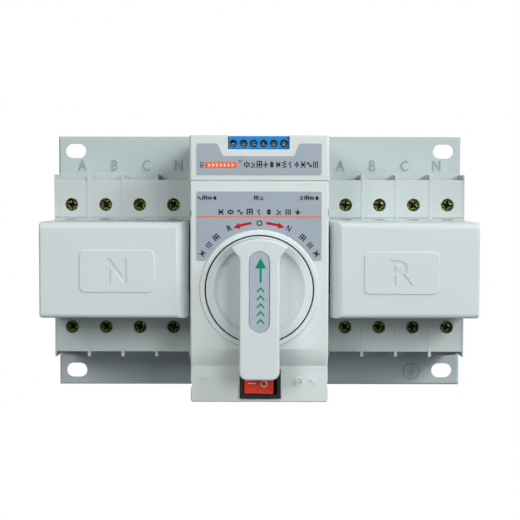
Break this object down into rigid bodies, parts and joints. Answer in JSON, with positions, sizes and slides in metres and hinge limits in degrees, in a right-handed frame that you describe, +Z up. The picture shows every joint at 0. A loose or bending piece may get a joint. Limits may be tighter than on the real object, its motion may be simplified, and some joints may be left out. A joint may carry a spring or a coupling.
{
  "type": "manual transfer switch",
  "caption": "Changeover switch on a slotted base plate: two banks of breaker poles under clip-on guards, with a rotary lever, rocker and terminal strip between them.",
  "frame": {"origin": "centre of the plane in which the base plate's folded edges meet the wall", "axes": "+X to the right as seen from the front, the front faces -Y, +Z up"},
  "size_m": [0.226, 0.114, 0.14],
  "materials": {
    "plate_paint": "light blue-grey paint over pressed steel, satin",
    "pole_plastic": "light grey moulded breaker case, fine texture",
    "guard_plastic": "light grey moulded guard, satin",
    "cover_plastic": "light grey moulded cover, satin",
    "case_plastic": "light grey moulded case, satin",
    "dial_plastic": "pale grey moulded plastic, semi-gloss",
    "grey_foil": "silver-grey printed foil",
    "lilac_foil": "pale lilac-grey printed foil",
    "blue_plastic": "blue terminal block plastic",
    "yellow_zinc": "yellow passivated zinc-plated steel screws",
    "screw_steel": "nickel-plated small screws",
    "black_plastic": "black moulded plastic",
    "red_plastic": "translucent red rocker plastic",
    "toggle_black": "black moulded toggles",
    "zinc": "zinc-plated sheet steel",
    "nylon": "natural nylon",
    "circuit_board": "green solder mask",
    "motor_steel": "plated steel motor can",
    "brass": "machined brass",
    "shaft_steel": "ground steel"
  },
  "bodies": {
    "root": {"base_plate": "plate_paint", "normal_rail": "zinc", "normal_pole_1": "pole_plastic", "normal_top_screw_1": "yellow_zinc", "normal_bottom_screw_1": "yellow_zinc", "normal_pole_2": "pole_plastic", "normal_top_screw_2": "yellow_zinc", "normal_bottom_screw_2": "yellow_zinc", "normal_pole_3": "pole_plastic", "normal_top_screw_3": "yellow_zinc", "normal_bottom_screw_3": "yellow_zinc", "normal_pole_4": "pole_plastic", "normal_top_screw_4": "yellow_zinc", "normal_bottom_screw_4": "yellow_zinc", "normal_limit_switch": "black_plastic", "reserve_rail": "zinc", "reserve_pole_1": "pole_plastic", "reserve_top_screw_1": "yellow_zinc", "reserve_bottom_screw_1": "yellow_zinc", "reserve_pole_2": "pole_plastic", "reserve_top_screw_2": "yellow_zinc", "reserve_bottom_screw_2": "yellow_zinc", "reserve_pole_3": "pole_plastic", "reserve_top_screw_3": "yellow_zinc", "reserve_bottom_screw_3": "yellow_zinc", "reserve_pole_4": "pole_plastic", "reserve_top_screw_4": "yellow_zinc", "reserve_bottom_screw_4": "yellow_zinc", "reserve_limit_switch": "black_plastic", "rear_case": "case_plastic", "front_cover": "cover_plastic", "terminal_cap": "cover_plastic", "control_strip": "blue_plastic", "control_screw_1": "screw_steel", "control_screw_2": "screw_steel", "control_screw_3": "screw_steel", "control_screw_4": "screw_steel", "control_screw_5": "screw_steel", "control_screw_6": "screw_steel", "control_board": "circuit_board", "chassis": "zinc", "gear_box": "nylon", "drive_motor": "motor_steel", "cap_foil": "grey_foil", "cover_foil": "grey_foil", "rocker_frame": "black_plastic"},
    "normal_toggle_bar": {"normal_toggles": "toggle_black"},
    "normal_yoke_bar": {"normal_yoke": "black_plastic"},
    "normal_guard_shell": {"normal_guard": "guard_plastic"},
    "reserve_toggle_bar": {"reserve_toggles": "toggle_black"},
    "reserve_yoke_bar": {"reserve_yoke": "black_plastic"},
    "reserve_guard_shell": {"reserve_guard": "guard_plastic"},
    "motor_pinion": {"drive_pinion": "brass"},
    "handle": {"driven_gear": "brass", "cam_disc": "nylon", "handle_shaft": "shaft_steel", "dial_disc": "dial_plastic", "lever_handle": "dial_plastic", "lever_foil": "lilac_foil"},
    "rocker": {"rocker_button": "red_plastic"}
  },
  "joints": [
    {"name": "handle_turn", "type": "hinge", "parent": "root", "child": "handle", "pos_m": [0, -0.097, -0.0097], "axis": [0, 1, 0], "range_deg": [-45, 45]},
    {"name": "pinion_spin", "type": "hinge", "parent": "root", "child": "motor_pinion", "pos_m": [0, -0.072, 0.018], "axis": [0, 1, 0], "range_deg": [-125, 125]},
    {"name": "rocker_tilt", "type": "hinge", "parent": "root", "child": "rocker", "pos_m": [0.0005, -0.0885, -0.058], "axis": [0, 0, 1], "range_deg": [0, 18]},
    {"name": "normal_yoke_slide", "type": "slide", "parent": "root", "child": "normal_yoke_bar", "axis": [0, 0, 1], "range_m": [0, 0.01864]},
    {"name": "normal_toggle_throw", "type": "hinge", "parent": "root", "child": "normal_toggle_bar", "pos_m": [-0.0726, -0.066, 0], "axis": [-1, 0, 0], "range_deg": [0, 80.5]},
    {"name": "normal_guard_pull", "type": "slide", "parent": "root", "child": "normal_guard_shell", "axis": [0, -1, 0], "range_m": [0, 0.03]},
    {"name": "reserve_yoke_slide", "type": "slide", "parent": "root", "child": "reserve_yoke_bar", "axis": [0, 0, 1], "range_m": [0, 0.01864]},
    {"name": "reserve_toggle_throw", "type": "hinge", "parent": "root", "child": "reserve_toggle_bar", "pos_m": [0.0726, -0.066, 0], "axis": [-1, 0, 0], "range_deg": [0, 80.5]},
    {"name": "reserve_guard_pull", "type": "slide", "parent": "root", "child": "reserve_guard_shell", "axis": [0, -1, 0], "range_m": [0, 0.03]}
  ],
  "couplings": [
    {"joint": "pinion_spin", "follows": "handle_turn", "ratio": -2.6667},
    {"joint": "normal_toggle_throw", "follows": "normal_yoke_slide", "rad_per_m": 74.903},
    {"joint": "reserve_toggle_throw", "follows": "reserve_yoke_slide", "rad_per_m": 74.903}
  ]
}
